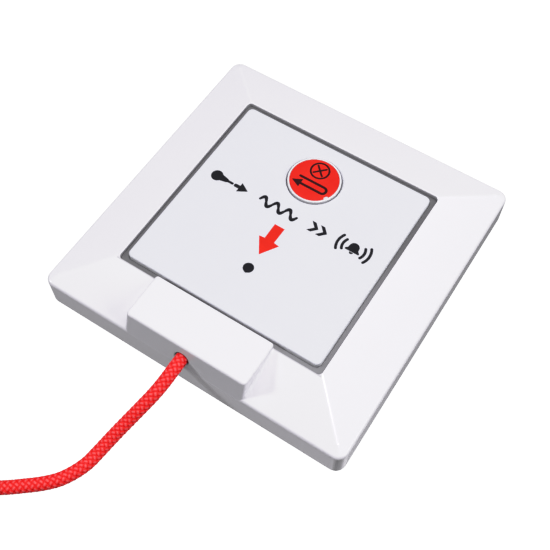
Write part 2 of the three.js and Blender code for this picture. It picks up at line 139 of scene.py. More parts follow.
def surface_net(field, xs, ys, zs):
    """closed quad mesh of field = 0 on a rectilinear grid, its points moved onto the surface;
    returns points, quads and normals"""
    value = field(*np.meshgrid(xs, ys, zs, indexing="ij")).astype(np.float64)
    value[np.abs(value) < 1e-6] = 1e-6
    inside = value < 0
    corners = list(np.ndindex(2, 2, 2))

    # one point in each cell that the surface crosses
    size = np.array(value.shape) - 1
    count = np.zeros(size, np.int8)
    for i, j, k in corners:
        count += inside[i:i + size[0], j:j + size[1], k:k + size[2]]
    cell = np.array(np.nonzero((count > 0) & (count < 8)))
    total = cell.shape[1]
    index = -np.ones(size, np.int64)
    index[tuple(cell)] = np.arange(total)

    def grid_point(i, j, k):
        return np.stack([xs[i], ys[j], zs[k]], -1)

    # each point starts at the mean of the crossings on its cell's edges
    points, crossings = np.zeros((total, 3)), np.zeros(total)
    for corner in corners:
        for axis in range(3):
            if corner[axis]:
                continue
            a = cell + np.array(corner)[:, None]
            b = a.copy()
            b[axis] += 1
            value_a, value_b = value[tuple(a)], value[tuple(b)]
            crossed = (value_a < 0) != (value_b < 0)
            t = (value_a / np.where(crossed, value_a - value_b, 1.0))[:, None]
            crossing = grid_point(*a) * (1 - t) + grid_point(*b) * t
            points[crossed] += crossing[crossed]
            crossings[crossed] += 1
    points /= crossings[:, None]

    # one quad round each grid edge that the surface crosses
    quads = []
    for axis in range(3):
        edge = np.array(np.nonzero(np.diff(inside, axis=axis)))
        u, v = [other for other in range(3) if other != axis]
        within = (edge[u] > 0) & (edge[v] > 0) & (edge[u] < size[u]) & (edge[v] < size[v])
        edge = edge[:, within]
        around = []
        for du, dv in ((1, 1), (0, 1), (0, 0), (1, 0)):
            at = edge.copy()
            at[u] -= du
            at[v] -= dv
            around.append(index[tuple(at)])
        quad = np.stack(around, -1)
        first_in = inside[tuple(edge)]
        flip = first_in if axis == 1 else ~first_in
        quad[flip] = quad[flip][:, ::-1]
        quads.append(quad)

    def gradient(p, h):
        return np.stack([field(*(p + h * way).T) - field(*(p - h * way).T)
                         for way in np.eye(3)], -1) / (2 * h)

    start = points.copy()
    for _ in range(3):
        slope = gradient(points, h=1e-3)
        scale = field(*points.T) / np.maximum((slope * slope).sum(1), 0.2)
        points = points + np.clip(-scale[:, None] * slope, -0.15, 0.15)
        points = start + np.clip(points - start, -0.2, 0.2)
    normals = gradient(points, h=0.02)
    normals /= np.maximum(np.linalg.norm(normals, axis=1), 1e-9)[:, None]
    return points, np.concatenate(quads), normals


def grid(start, *spans):
    """grid lines from start, through (stop, step) spans joined end to end"""
    out = [start]
    for stop, step in spans:
        count = max(1, int(round((stop - start) / step)))
        out += list(np.linspace(start, stop, count + 1)[1:])
        start = stop
    return np.array(out)


# ---------------------------------------------------------------- mesh helpers
def add_object(name, data):
    ob = bpy.data.objects.new(name, data)
    bpy.context.scene.collection.objects.link(ob)
    return ob


def net_object(name, field, xs, ys, zs):
    points, quads, normals = surface_net(field, xs, ys, zs)
    me = bpy.data.meshes.new(name)
    me.from_pydata((points * MM).tolist(), [], quads.tolist())
    me.update()
    me.shade_smooth()
    me.normals_split_custom_set_from_vertices(normals.tolist())
    return add_object(name, me)


def mesh_object(name, verts, faces, sharp=None):
    """smooth mesh, with edges over sharp degrees kept sharp"""
    me = bpy.data.meshes.new(name)
    me.from_pydata(verts, [], faces)
    me.update()
    bm = bmesh.new()
    bm.from_mesh(me)
    bmesh.ops.recalc_face_normals(bm, faces=bm.faces)
    bm.to_mesh(me)
    bm.free()
    me.shade_smooth()
    if sharp is not None:
        me.set_sharp_from_angle(angle=math.radians(sharp))
    return add_object(name, me)


def unit(v):
    return v / np.linalg.norm(v, axis=-1, keepdims=True)


def fillet_path(corners, segments):
    """a polyline with its corners rounded, from (x, y, corner radius) rows"""
    points = [np.array(row[:2], float) for row in corners]
    out = []
    for i, (point, row) in enumerate(zip(points, corners)):
        radius = row[2]
        if radius <= 0:
            out.append(point)
            continue
        a, b = points[i - 1] - point, points[i + 1] - point
        reach = 0.49 * min(np.linalg.norm(a), np.linalg.norm(b))
        a, b = unit(a), unit(b)
        half = math.acos(a @ b) / 2
        trim = min(radius / math.tan(half), reach)
        radius = trim * math.tan(half)
        centre = point + unit(a + b) * (radius / math.sin(half))
        first, last = point + a * trim - centre, point + b * trim - centre
        turn = math.acos(first @ last / radius ** 2)
        for k in range(segments + 1):
            w = k / segments
            spoke = math.sin((1 - w) * turn) * first + math.sin(w * turn) * last
            out.append(centre + spoke / math.sin(turn))
    return out


def lathe(name, profile, centre, segments, sharp=40, radius_at=lambda r, angle: r):
    """(radius, z) profile, from axis to axis, turned about +Z through centre;
    radius_at changes the radius by angle"""
    verts, rows, faces = [], [], []
    for r, z in profile:
        first = len(verts)
        if r < 1e-6:
            verts.append((centre[0] * MM, centre[1] * MM, z * MM))
        else:
            for k in range(segments):
                a = 2 * math.pi * k / segments
                radius = radius_at(r, a)
                verts.append(((centre[0] + radius * math.cos(a)) * MM,
                              (centre[1] + radius * math.sin(a)) * MM, z * MM))
        rows.append(range(first, len(verts)))
    for a, b in zip(rows[:-1], rows[1:]):
        for k in range(segments):
            k2 = (k + 1) % segments
            if len(a) == 1:
                faces.append((a[0], b[k], b[k2]))
            elif len(b) == 1:
                faces.append((a[k], b[0], a[k2]))
            else:
                faces.append((a[k], b[k], b[k2], a[k2]))
    return mesh_object(name, verts, faces, sharp)


def tube_faces(rings, around):
    """quads between successive rings of points"""
    faces = []
    for i in range(rings - 1):
        a, b = i * around, (i + 1) * around
        for k in range(around):
            k2 = (k + 1) % around
            faces.append((a + k, a + k2, b + k2, b + k))
    return faces


def prism(bm, outline, z0, z1):
    """a closed outline raised from z0 to z1"""
    low = [bm.verts.new((x * MM, y * MM, z0 * MM)) for x, y in outline]
    high = [bm.verts.new((x * MM, y * MM, z1 * MM)) for x, y in outline]
    bm.faces.new(high)
    bm.faces.new(low[::-1])
    for k in range(len(outline)):
        k2 = (k + 1) % len(outline)
        bm.faces.new((low[k], low[k2], high[k2], high[k]))


def ribbon(bm, path, width, z0, z1, closed):
    """a line raised from z0 to z1, its width one number or one per point; open ends are round"""
    p = np.array(path, float)
    half = np.broadcast_to(np.asarray(width, float), len(p)) / 2
    along = unit(np.roll(p, -1, 0) - np.roll(p, 1, 0) if closed else np.gradient(p, axis=0))
    side = np.stack([-along[:, 1], along[:, 0]], 1) * half[:, None]
    sections = list(zip(p + side, p - side))
    if not closed:
        head, tail = [], []
        for k in range(1, 6):
            c, s = math.cos(k * math.pi / 11), math.sin(k * math.pi / 11)
            for cap, i, way in ((tail, -1, 1), (head, 0, -1)):
                middle = p[i] + way * along[i] * half[i] * s
                cap.append((middle + side[i] * c, middle - side[i] * c))
        sections = head[::-1] + sections + tail
    rows = []
    for left, right in sections:
        rows.append([bm.verts.new((at[0] * MM, at[1] * MM, z * MM))
                     for at, z in ((left, z0), (right, z0), (right, z1), (left, z1))])
    for k in range(len(rows) if closed else len(rows) - 1):
        a, b = rows[k], rows[(k + 1) % len(rows)]
        for q in range(4):
            q2 = (q + 1) % 4
            bm.faces.new((a[q], a[q2], b[q2], b[q]))
    if not closed:
        bm.faces.new(rows[0][::-1])
        bm.faces.new(rows[-1])


def printed(name, parts, z0, z1):
    """parts: ("line", path, width), ("loop", path, width) or ("fill", outline)"""
    bm = bmesh.new()
    for k, (kind, path, *width) in enumerate(parts):
        top = z1 + 0.0015 * k     # keeps the tops of overlapping parts apart
        if kind == "fill":
            prism(bm, path, z0, top)
        else:
            ribbon(bm, path, width[0], z0, top, closed=kind == "loop")
    bmesh.ops.recalc_face_normals(bm, faces=bm.faces)
    bmesh.ops.triangulate(bm, faces=[f for f in bm.faces if len(f.verts) > 4])
    me = bpy.data.meshes.new(name)
    bm.to_mesh(me)
    bm.free()
    return add_object(name, me)


# ---------------------------------------------------------------- shader helpers
NOISE_BAND = (0.3, 0.7)           # most of a noise's values lie in here


class Shader:
    """a material's node tree, with short ways to add nodes to it"""

    def __init__(self, name):
        self.material = bpy.data.materials.new(name)
        self.material.use_nodes = True
        self.tree = self.material.node_tree
        self.principled = self.tree.nodes["Principled BSDF"]
        self.place = self.node("ShaderNodeTexCoord").outputs["Object"]

    def node(self, kind, **props):
        node = self.tree.nodes.new(kind)
        for name, value in props.items():
            setattr(node, name, value)
        return node

    def put(self, socket, value):
        """sets a number or a colour, or links another node's output"""
        if isinstance(value, (int, float)):
            socket.default_value = value
        elif isinstance(value, tuple):
            socket.default_value = (*value, 1)
        else:
            self.tree.links.new(value, socket)

    def fill(self, node, **inputs):
        """puts values into the named inputs; returns the first output"""
        for name, value in inputs.items():
            self.put(node.inputs[name.replace("_", " ")], value)
        return node.outputs[0]

    def finish(self, **inputs):
        self.fill(self.principled, **inputs)
        return self.material

    def noise(self, size, detail=3, rough=0.55, place=None):
        """noise with features about size millimetres across"""
        node = self.node("ShaderNodeTexNoise")
        self.fill(node, Scale=1000.0 / size, Detail=detail, Roughness=rough,
                  Vector=place or self.place)
        return node.outputs["Fac"]

    def ramp(self, value, stops):
        node = self.node("ShaderNodeValToRGB")
        elements = node.color_ramp.elements
        elements.remove(elements[-1])
        for k, (position, color) in enumerate(stops):
            element = elements.new(position) if k else elements[0]
            element.position = position
            element.color = (*color, 1)
        return self.fill(node, Fac=value)

    def span(self, value, source=NOISE_BAND, to=(0.0, 1.0)):
        """maps the source range onto another"""
        return self.fill(self.node("ShaderNodeMapRange"), Value=value, From_Min=source[0],
                         From_Max=source[1], To_Min=to[0], To_Max=to[1])

    def math(self, operation, *values):
        node = self.node("ShaderNodeMath", operation=operation)
        for socket, value in zip(node.inputs, values):
            self.put(socket, value)
        return node.outputs[0]

    def mix(self, factor, a, b):
        node = self.node("ShaderNodeMix", data_type="RGBA")
        self.put(node.inputs["Factor"], factor)
        self.put(node.inputs[6], a)
        self.put(node.inputs[7], b)
        return node.outputs[2]

    def mix_shader(self, factor, a, b):
        node = self.node("ShaderNodeMixShader")
        for socket, value in zip(node.inputs, (factor, a, b)):
            self.put(socket, value)
        return node.outputs[0]

    def surface(self, shader):
        self.put(self.tree.nodes["Material Output"].inputs["Surface"], shader)

    def bump(self, height, depth, strength):
        """bump of a depth in millimetres"""
        return self.fill(self.node("ShaderNodeBump"), Strength=strength, Distance=depth * MM,
                         Height=height)

    def xyz(self, vector):
        node = self.node("ShaderNodeSeparateXYZ")
        self.put(node.inputs[0], vector)
        return node.outputs

    def square_out(self):
        """distance from the middle of the opening, measured square, and height, in mm"""
        x, y, z = self.xyz(self.place)
        x = self.math("ABSOLUTE", self.math("MULTIPLY", x, 1000.0))
        y = self.math("SUBTRACT", self.math("MULTIPLY", y, 1000.0), OPEN_Y)
        y = self.math("ABSOLUTE", y)
        return self.math("MAXIMUM", x, y), self.math("MULTIPLY", z, 1000.0)


def shade(color, factor):
    return tuple(min(1, c * factor) for c in color)


# ---------------------------------------------------------------- materials
def plastic(name, color, rough, grain_size=0.35, grain=0.004, mottle=0.02, coat=0.0,
            spec=0.5, vary=0.05, painted_shade=None, edge=None, painted_reflection=None):
    """moulded plastic: faint mottling, fine eroded grain, smoother patches and a hint of grime
    in the grain; the last three arguments are colours painted on parts of a piece: shade inside
    the opening and on top of the nose, light on the panel's side below its top face, and a
    reflection towards the +X -Y corner"""
    n = Shader("m_" + name)
    big = n.noise(size=14, detail=2)
    fine = n.noise(size=grain_size, detail=4, rough=0.6)
    mid = n.noise(size=2.2)
    col = n.ramp(big, [(0.3, shade(color, 1 - 2 * mottle)), (0.7, shade(color, 1 + mottle))])
    col = n.mix(n.span(fine, source=(0.35, 0.75), to=(0.0, 0.05)), col, shade(color, 0.8))
    if painted_shade:
        # painted shade: greyer inside the opening, and a little darker on top of the nose
        out, z = n.square_out()
        low = n.math("MULTIPLY", n.span(out, source=(29.1, 29.3), to=(1.0, 0.0)),
                     n.span(z, source=(13.6, 13.9), to=(1.0, 0.0)))
        col = n.mix(low, col, painted_shade)
        col = n.mix(n.span(z, source=(14.3, 14.85)), col, shade(color, 0.93))
    if edge:
        # painted light: paler round the edge, below the top face, where the panel's side is in
        # shade
        out, z = n.square_out()
        rim = n.math("MULTIPLY", n.span(out, source=(27.2, 27.45)),
                     n.span(z, source=(13.8, 14.15), to=(1.0, 0.0)))
        col = n.mix(rim, col, edge)
    if painted_reflection:
        # painted reflection: paler towards the +X -Y corner
        x, y, z = n.xyz(n.place)
        across = n.math("MULTIPLY", n.math("SUBTRACT", x, y), 1000.0)
        col = n.mix(n.span(across, source=(18, 36)), col, painted_reflection)
    roughness = n.math("ADD", n.span(mid, to=(rough - vary, rough + vary)),
                       n.span(fine, to=(-0.03, 0.03)))
    height = n.math("ADD", fine, n.math("MULTIPLY", mid, 0.8))
    n.finish(Base_Color=col, Roughness=roughness, IOR=1.5, Specular_IOR_Level=spec,
             Normal=n.bump(height, depth=grain, strength=0.6))
    if coat:
        n.finish(Coat_Weight=coat, Coat_Roughness=0.12)
    return n.material


def metal(name, color, rough):
    """drawn or plated metal: fine lines along Y and small stains"""
    n = Shader("m_" + name)
    stretch = n.node("ShaderNodeMapping")
    stretch.inputs["Scale"].default_value = (60, 3, 60)
    place = n.fill(stretch, Vector=n.place)
    line = n.noise(size=25, detail=3, rough=0.6, place=place)
    stain = n.noise(size=1.6)
    col = n.ramp(stain, [(0.3, shade(color, 0.78)), (0.65, color)])
    roughness = n.math("ADD", n.span(line, to=(rough - 0.08, rough + 0.1)),
                       n.span(stain, to=(0.04, -0.04)))
    return n.finish(Base_Color=col, Metallic=1.0, Roughness=roughness,
                    Normal=n.bump(line, depth=0.01, strength=0.5))


def film(name, dark, light, patch, fine, rough, grain, spec):
    """thin layer of colour: patch and fine are the sizes of its two noises"""
    n = Shader("m_" + name)
    a, b = n.noise(size=fine), n.noise(size=patch, detail=2)
    return n.finish(Base_Color=n.ramp(b, [(0.3, dark), (0.7, light)]),
                    Roughness=n.span(a, to=rough), Specular_IOR_Level=spec,
                    Normal=n.bump(a, depth=grain, strength=0.5))


def ink(name, color, rough):
    """screen printed ink"""
    return film(name, dark=shade(color, 0.9), light=shade(color, 1.1), patch=3.5, fine=0.5,
                rough=(rough - 0.07, rough + 0.07), grain=0.004, spec=0.12)


def board_material():
    """circuit board: a green weave"""
    n = Shader("m_board")
    weave = n.fill(n.node("ShaderNodeTexBrick"), Scale=300, Color1=(0.02, 0.16, 0.05),
                   Color2=(0.018, 0.13, 0.045), Mortar=(0.035, 0.24, 0.08),
                   Mortar_Size=0.012, Vector=n.place)
    fine = n.noise(size=0.3, detail=2)
    return n.finish(Base_Color=weave, Roughness=n.span(fine, to=(0.3, 0.42)),
                    Normal=n.bump(fine, depth=0.004, strength=0.4))


def cord_material():
    """braided polyester: painted shade low in the braid, by height, and a painted highlight on
    the crest of each float; filaments along each strand
    """
    n = Shader("m_cord")
    height, across, crest = [
        n.node("ShaderNodeAttribute", attribute_name=name).outputs["Fac"]
        for name in ("braid_h", "braid_u", "braid_c")]
    filament = n.math("SINE", n.math("MULTIPLY", across, 2 * math.pi * 3))
    fuzz = n.noise(size=0.20, detail=4, rough=0.65)
    big = n.noise(size=3.0, detail=2)
    # painted shade: darker red low in the braid, between the strands
    col = n.ramp(height, [(0.10, (0.46, 0.000, 0.001)), (0.40, (0.88, 0.002, 0.003)),
                          (0.72, (1.0, 0.008, 0.008))])
    # painted highlight: pink on the crest of each float
    bright = n.math("MULTIPLY", crest, n.span(fuzz, source=(0.35, 0.65), to=(0.55, 1.0)))
    col = n.mix(bright, col, (1.0, 0.17, 0.19))
    col = n.mix(n.span(fuzz, source=(0.55, 0.78), to=(0.0, 0.22)), col, (1.0, 0.14, 0.16))
    col = n.mix(n.span(big, source=(0.4, 0.7), to=(0.0, 0.06)), col, (0.80, 0.002, 0.003))
    relief = n.math("ADD", n.math("MULTIPLY", filament, 0.35), fuzz)
    n.finish(Base_Color=col, Roughness=n.span(fuzz, to=(0.45, 0.62)),
             Normal=n.bump(relief, depth=0.03, strength=0.7), Specular_IOR_Level=0.35)
    # its bounce light is nearly neutral, so the white plastic beside it stays white
    bounced = n.node("ShaderNodeLightPath").outputs["Is Diffuse Ray"]
    grey = n.fill(n.node("ShaderNodeBsdfDiffuse"), Color=(0.30, 0.28, 0.24))
    n.surface(n.mix_shader(bounced, n.principled.outputs[0], grey))
    return n.material


PLASTICS = {
    # the housing's second colour is painted shade inside the opening and on top of the nose
    "housing": dict(color=(0.83, 0.808, 0.862), rough=0.22, mottle=0.004, vary=0.012,
                    painted_shade=(0.47, 0.46, 0.485)),
    # the panel's second colour is painted light on its side, below the top face
    "panel": dict(color=(0.665, 0.662, 0.715), rough=0.40, mottle=0.004, spec=0.32,
                  vary=0.012, edge=(0.92, 0.91, 0.95)),
    # the carrier's second colour is a painted reflection towards the +X -Y corner
    "carrier": dict(color=(0.165, 0.162, 0.172), rough=0.42, painted_reflection=(0.275, 0.27, 0.29)),
    "base": dict(color=(0.74, 0.74, 0.76), rough=0.55, grain_size=0.5, grain=0.012),
    "slider": dict(color=(0.78, 0.78, 0.75), rough=0.45),
    "black": dict(color=(0.02, 0.02, 0.022), rough=0.5, grain=0.008, mottle=0.05),
    "lens": dict(color=(0.010, 0.010, 0.015), rough=0.35, grain=0.0006, spec=0.12),
    "led": dict(color=(0.70, 0.74, 0.80), rough=0.08, grain=0.0006, coat=0.5),
    "cap": dict(color=(0.71, 0.70, 0.735), rough=0.20, grain=0.001, mottle=0.004, coat=0.3),
    "sleeve": dict(color=(0.02, 0.02, 0.03), rough=0.3, grain=0.003),
    "wrap": dict(color=(0.03, 0.06, 0.20), rough=0.3, grain=0.003),
}
METALS = {
    "tin": dict(color=(0.66, 0.66, 0.66), rough=0.34),
    "spring": dict(color=(0.52, 0.52, 0.53), rough=0.28),
    "copper": dict(color=(0.72, 0.32, 0.16), rough=0.26),
    "brass": dict(color=(0.72, 0.52, 0.22), rough=0.30),
}
INKS = {
    "ink_black": dict(color=(0.012, 0.012, 0.016), rough=0.45),
    "ink_red": dict(color=(0.76, 0.020, 0.008), rough=0.4),
    "ink_maroon": dict(color=(0.035, 0.002, 0.004), rough=0.4),
}
materials = {}
for build, looks in ((plastic, PLASTICS), (metal, METALS), (ink, INKS)):
    for name, look in looks.items():
        materials[name] = build(name, **look)
materials["label"] = film("label", dark=(0.72, 0.014, 0.006), light=(0.84, 0.024, 0.012),
                          patch=5, fine=0.4, rough=(0.40, 0.50), grain=0.002, spec=0.15)
materials["board"] = board_material()
materials["cord"] = cord_material()


def paint(ob, material):
    ob.data.materials.append(materials[material])


def fit(ob, material, node, body):
    """paints a piece, puts it in place of a CAD node and lets it move with a body"""
    paint(ob, material)
    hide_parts(node)
    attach(ob, body)


# ---------------------------------------------------------------- front frame
OPEN_EDGE_Y = OPEN_Y - OPEN_HALF  # the opening's -Y edge
SIDE_LEAN, SIDE_DROP = 0.15, 6.5  # the nose's sides spread by the first over the second
LIP_Z = 13.4                      # underside of the nose where it overhangs the opening
ROOF_T = 1.8                      # drop from the slope to the hollow below it
SKIRT_T, SKIRT_Z = 1.3, 11.85     # wall round the opening, and its lower end
WELL_HALF, WELL_Y0, WELL_Y1, WELL_Z = 14.6, -40.4, -30.75, 13.3    # hollow in the nose
BORE_Y = -39.5                    # inner end of the cord hole
NOTCH_HALF, NOTCH_Y, NOTCH_Z = 4, 40.8, 1.1     # notch in the +Y wall, at its foot


def nose_field(x, y, z):
    rise, run = NOSE_Z - NOSE_FOOT_Z, NOSE_Y0 + HALF
    front = -((y + HALF) * rise - (z - NOSE_FOOT_Z) * run) / math.hypot(rise, run)
    out = np.abs(x - NOSE_X) - NOSE_HALF
    side = (out * SIDE_DROP + (z - NOSE_Z) * SIDE_LEAN) / math.hypot(SIDE_DROP, SIDE_LEAN)
    nose = intersect(front, side, radius=1.0)
    nose = intersect(nose, y - NOSE_Y1, radius=0.75)
    nose = intersect(nose, z - NOSE_Z, radius=0.5)
    under = np.maximum(z - LIP_Z, -(y - OPEN_EDGE_Y))
    return np.maximum(nose, -under)


def frame_field(x, y, z):
    steep = math.cos(math.atan(SLOPE))
    edge = rounded_square(x, y, HALF, CORNER_R)
    soft = rounded_square(x, y, HALF, CORNER_R, soft=0.7)
    slope = (z - (RIM_Z - soft * SLOPE)) * steep
    body = intersect(edge, slope, radius=0.65)
    hole = rounded_square(x, y - OPEN_Y, OPEN_HALF, OPEN_R)
    body = intersect(body, -hole, radius=0.3)

    # the fillet round the nose fades out towards the rim and the opening
    fade = (np.clip((y + 42.7) / 0.9, 0, 1)
            * np.clip((OPEN_EDGE_Y - 0.1 - y) / 1.0, 0, 1))
    body = unite(body, np.maximum(nose_field(x, y, z), edge), radius=0.75 * fade)

    roof = (z - (RIM_Z - edge * SLOPE - ROOF_T)) * steep
    skirt = rounded_square(x, y - OPEN_Y, OPEN_HALF + SKIRT_T, OPEN_R + SKIRT_T)
    skirt = np.maximum(skirt, SKIRT_Z - z)
    hollow = np.maximum(np.maximum(edge + WALL, roof), -skirt)
    well = np.maximum(np.abs(x) - WELL_HALF, np.maximum(WELL_Y0 - y, y - WELL_Y1))
    hollow = np.minimum(hollow, np.maximum(well, z - WELL_Z))
    body = intersect(body, -hollow, radius=0.15)

    bore = np.maximum(np.hypot(x - CORD_X, z - CORD_Z) - CORD_HOLE_R, y - BORE_Y)
    body = intersect(body, -bore, radius=0.3)
    notch = np.maximum(np.maximum(np.abs(x) - NOTCH_HALF, NOTCH_Y - y), z - NOTCH_Z)
    body = intersect(body, -notch, radius=0.15)
    return intersect(body, -z, radius=0.2)


# grids: a start, then (stop, step) spans, finer where there are edges
shell = net_object(
    "front_frame_shell", frame_field,
    grid(-43.6, (-41.6, 0.16), (-40.6, 0.25), (-30.5, 0.5), (-28.2, 0.25), (-19.2, 0.5),
         (-14.8, 0.2), (-4.2, 0.42), (2.0, 0.2), (14.2, 0.42), (18.6, 0.2), (28.2, 0.5),
         (30.5, 0.25), (40.6, 0.5), (41.6, 0.25), (43.6, 0.16)),
    grid(-43.6, (-41.6, 0.16), (-39.6, 0.2), (-30.4, 0.42), (-28.0, 0.2), (28.0, 0.55),
         (30.6, 0.25), (40.5, 0.5), (41.6, 0.25), (43.6, 0.16)),
    grid(-0.3, (0.6, 0.2), (7.6, 0.5), (9.2, 0.16), (15.4, 0.25)))
fit(shell, "housing", "front_frame", "housing")

# ---------------------------------------------------------------- centre panel
PANEL_WALL, PANEL_FOOT_Z = 1.2, 11.9
LENS_GAP = 0.04


def panel_field(x, y, z):
    body = rounded_square(x, y - OPEN_Y, PANEL_HALF, PANEL_R)
    body = intersect(body, z - PANEL_Z, radius=0.4)
    hollow = rounded_square(x, y - OPEN_Y, PANEL_HALF - PANEL_WALL, radius=0.6)
    body = np.maximum(body, -np.maximum(hollow, z - (PANEL_Z - PANEL_T)))
    button_hole = np.hypot(x - BUTTON[0], y - BUTTON[1]) - BUTTON_HOLE_R
    body = intersect(body, -button_hole, radius=0.22)
    lens_hole = np.hypot(x - LENS[0], y - LENS[1]) - LENS_R - LENS_GAP
    body = intersect(body, -lens_hole, radius=0.08)
    return intersect(body, PANEL_FOOT_Z - z, radius=0.1)


panel = net_object(
    "centre_panel_shell", panel_field,
    grid(-28.0, (-26.0, 0.2), (-8.2, 0.9), (-6.2, 0.2), (-1.9, 0.35), (1.3, 0.16),
         (5.8, 0.35), (7.8, 0.2), (26.0, 0.9), (28.0, 0.2)),
    grid(-28.3, (-26.2, 0.2), (-16.4, 0.9), (-13.1, 0.16), (8.0, 0.9), (10.0, 0.2),
         (21.6, 0.35), (23.6, 0.2), (25.6, 0.5), (27.7, 0.2)),
    grid(11.6, (12.5, 0.25), (13.7, 0.3), (14.6, 0.12)))
fit(panel, "panel", "centre_panel", "housing")

# ---------------------------------------------------------------- cancel button
RECESS_R, RECESS_Z = LABEL_R + 0.07, BUTTON_Z - 0.25      # shallow seat for the label
FLANGE_R = BUTTON_R + 0.9
CAP_PROFILE = [                   # radius, z, corner radius
    (0, RECESS_Z, 0), (RECESS_R, RECESS_Z, 0.02), (RECESS_R, BUTTON_Z, 0.06),
    (BUTTON_R, BUTTON_Z, 0.38), (BUTTON_R, 12.6, 0), (FLANGE_R, 12.55, 0.1),
    (FLANGE_R, 11.8, 0.1), (5.8, 11.8, 0.1), (5.8, 13.2, 0.2), (2.1, 13.2, 0.2),
    (2.1, 10.37, 0.15), (0, 10.37, 0),
]
cap = lathe("cancel_cap", fillet_path(CAP_PROFILE, segments=6), BUTTON, segments=128)
fit(cap, "cap", "cancel_button", "button")

LABEL_PROFILE = [                 # share of the label's radius, height over the button's top
    (0.0, 0.03), (0.3, 0.029), (0.6, 0.022), (0.8, 0.016), (0.93, 0.008), (0.972, 0.0),
    (0.992, -0.03), (1.0, -0.08), (1.0, -0.2), (0.0, -0.2),
]
NOTCH_ANGLE, NOTCH_SPREAD = math.radians(-31), 0.115      # direction and half angle
NOTCH_DEPTH = 0.62


def label_radius(share, angle):
    """radius of the label, with one small notch towards +X and -Y"""
    off = (angle - NOTCH_ANGLE + math.pi) % (2 * math.pi) - math.pi
    cut = NOTCH_DEPTH * (1 - min(1.0, abs(off) / NOTCH_SPREAD) ** 6)
    radius = (LABEL_R - cut) * share
    if share < 0.9:
        radius = min(LABEL_R * share, radius + (1 - share) * cut)
    return radius


disc = lathe("cancel_disc", [(share, BUTTON_Z + rise) for share, rise in LABEL_PROFILE],
             BUTTON, segments=192, sharp=50, radius_at=label_radius)
fit(disc, "label", "cancel_label", "button")

# ---------------------------------------------------------------- indicator
LENS_PROFILE = [                  # radius, z, corner radius
    (0, 14.39, 0), (LENS_R, 14.33, 0.14), (LENS_R, 12.65, 0.03), (2.3, 12.65, 0.05),
    (2.3, 11.9, 0.05), (LENS_R, 11.9, 0.05), (LENS_R, 10.8, 0.1), (0, 10.8, 0),
]
lens = lathe("indicator_window", fillet_path(LENS_PROFILE, segments=5), LENS, segments=64)
fit(lens, "lens", "indicator_lens", "housing")


# ---------------------------------------------------------------- printed signs
def arc(cx, cy, r, start, stop, steps):
    """points on an arc, its angles in degrees"""
    angles = [math.radians(start + (stop - start) * i / steps) for i in range(steps + 1)]
    return [(cx + r * math.cos(a), cy + r * math.sin(a)) for a in angles]


def panel_sign(name, parts, material="ink_black"):
    ob = printed(name, parts, PANEL_Z - 0.03, PANEL_Z + 0.02)
    paint(ob, material)
    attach(ob, "housing")


def button_sign(name, parts):
    ob = printed(name, parts, BUTTON_Z - 0.01, BUTTON_Z + 0.045)
    paint(ob, "ink_maroon")
    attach(ob, "button")


# a row of black signs between these two heights on the panel
ROW_Y0, ROW_Y1 = 1.72, 4.97
ROW_Y = (ROW_Y0 + ROW_Y1) / 2

# a hand grip with a short cord and an arrow
GRIP_X = -23.7
grip = arc(GRIP_X + 1.45, ROW_Y, r=1.6, start=38, stop=322, steps=30)
grip += [(GRIP_X + dx, ROW_Y + dy)
         for dx, dy in ((4.6, -0.55), (5.0, -0.25), (5.0, 0.25), (4.6, 0.55))]
panel_sign("sign_pull_grip", [
    ("fill", grip),
    ("line", [(GRIP_X + 4.9 + 0.25 * i, ROW_Y) for i in range(6)], 0.7),
    ("line", [(GRIP_X + 7.2, ROW_Y), (GRIP_X + 8.7, ROW_Y)], 1.0),
    ("fill", [(GRIP_X + 8.3, ROW_Y - 1.5), (GRIP_X + 10.85, ROW_Y),
              (GRIP_X + 8.3, ROW_Y + 1.5)]),
])

# a slack cord: three waves, thinner at the crests' middle line crossings
WAVE_X, WAVE_LENGTH, WAVE_HEIGHT, WAVE_STEPS = -9.05, 10.9, 1.15, 120
swing = [math.sin(2 * math.pi * 3.0 * i / WAVE_STEPS) for i in range(WAVE_STEPS + 1)]
panel_sign("sign_slack_cord", [
    ("line", [(WAVE_X + WAVE_LENGTH * i / WAVE_STEPS, ROW_Y + WAVE_HEIGHT * s)
              for i, s in enumerate(swing)], [0.62 + 0.36 * abs(s) for s in swing]),
])

# two chevrons
CHEVRON_T, CHEVRON_POINT = 1.15, 1.45
panel_sign("sign_chevrons", [
    ("fill", [(x, ROW_Y1 - 0.1), (x + CHEVRON_T, ROW_Y1 - 0.1),
              (x + CHEVRON_T + CHEVRON_POINT, ROW_Y), (x + CHEVRON_T, ROW_Y0 + 0.1),
              (x, ROW_Y0 + 0.1), (x + CHEVRON_POINT, ROW_Y)])
    for x in (5.6, 8.1)])

# a sounding bell: body, clapper, two waves on each side
BELL_X = 18.3
bell = [(BELL_X - 1.95, ROW_Y0 + 0.55), (BELL_X - 1.95, ROW_Y0 + 0.95),
        (BELL_X - 1.4, ROW_Y0 + 1.45)]
bell += arc(BELL_X, ROW_Y0 + 1.95, r=1.35, start=180, stop=0, steps=18)
bell += [(2 * BELL_X - x, y) for x, y in bell[2::-1]]
clapper = arc(BELL_X, ROW_Y0 + 0.42, r=0.55, start=180, stop=360, steps=12)
panel_sign("sign_bell", [("fill", bell), ("fill", clapper)] + [
    ("line", arc(BELL_X, ROW_Y, r, middle - 30, middle + 30, steps=16), 0.72)
    for r in (3.0, 4.45) for middle in (0, 180)])

# a red arrow towards the cord
ARROW = [(-1.74, -1.11), (1.12, -1.11), (1.02, -5.86), (2.60, -6.08), (-0.31, -10.59),
         (-3.22, -5.98), (-1.70, -5.81)]
panel_sign("sign_arrow", [("fill", ARROW)], "ink_red")

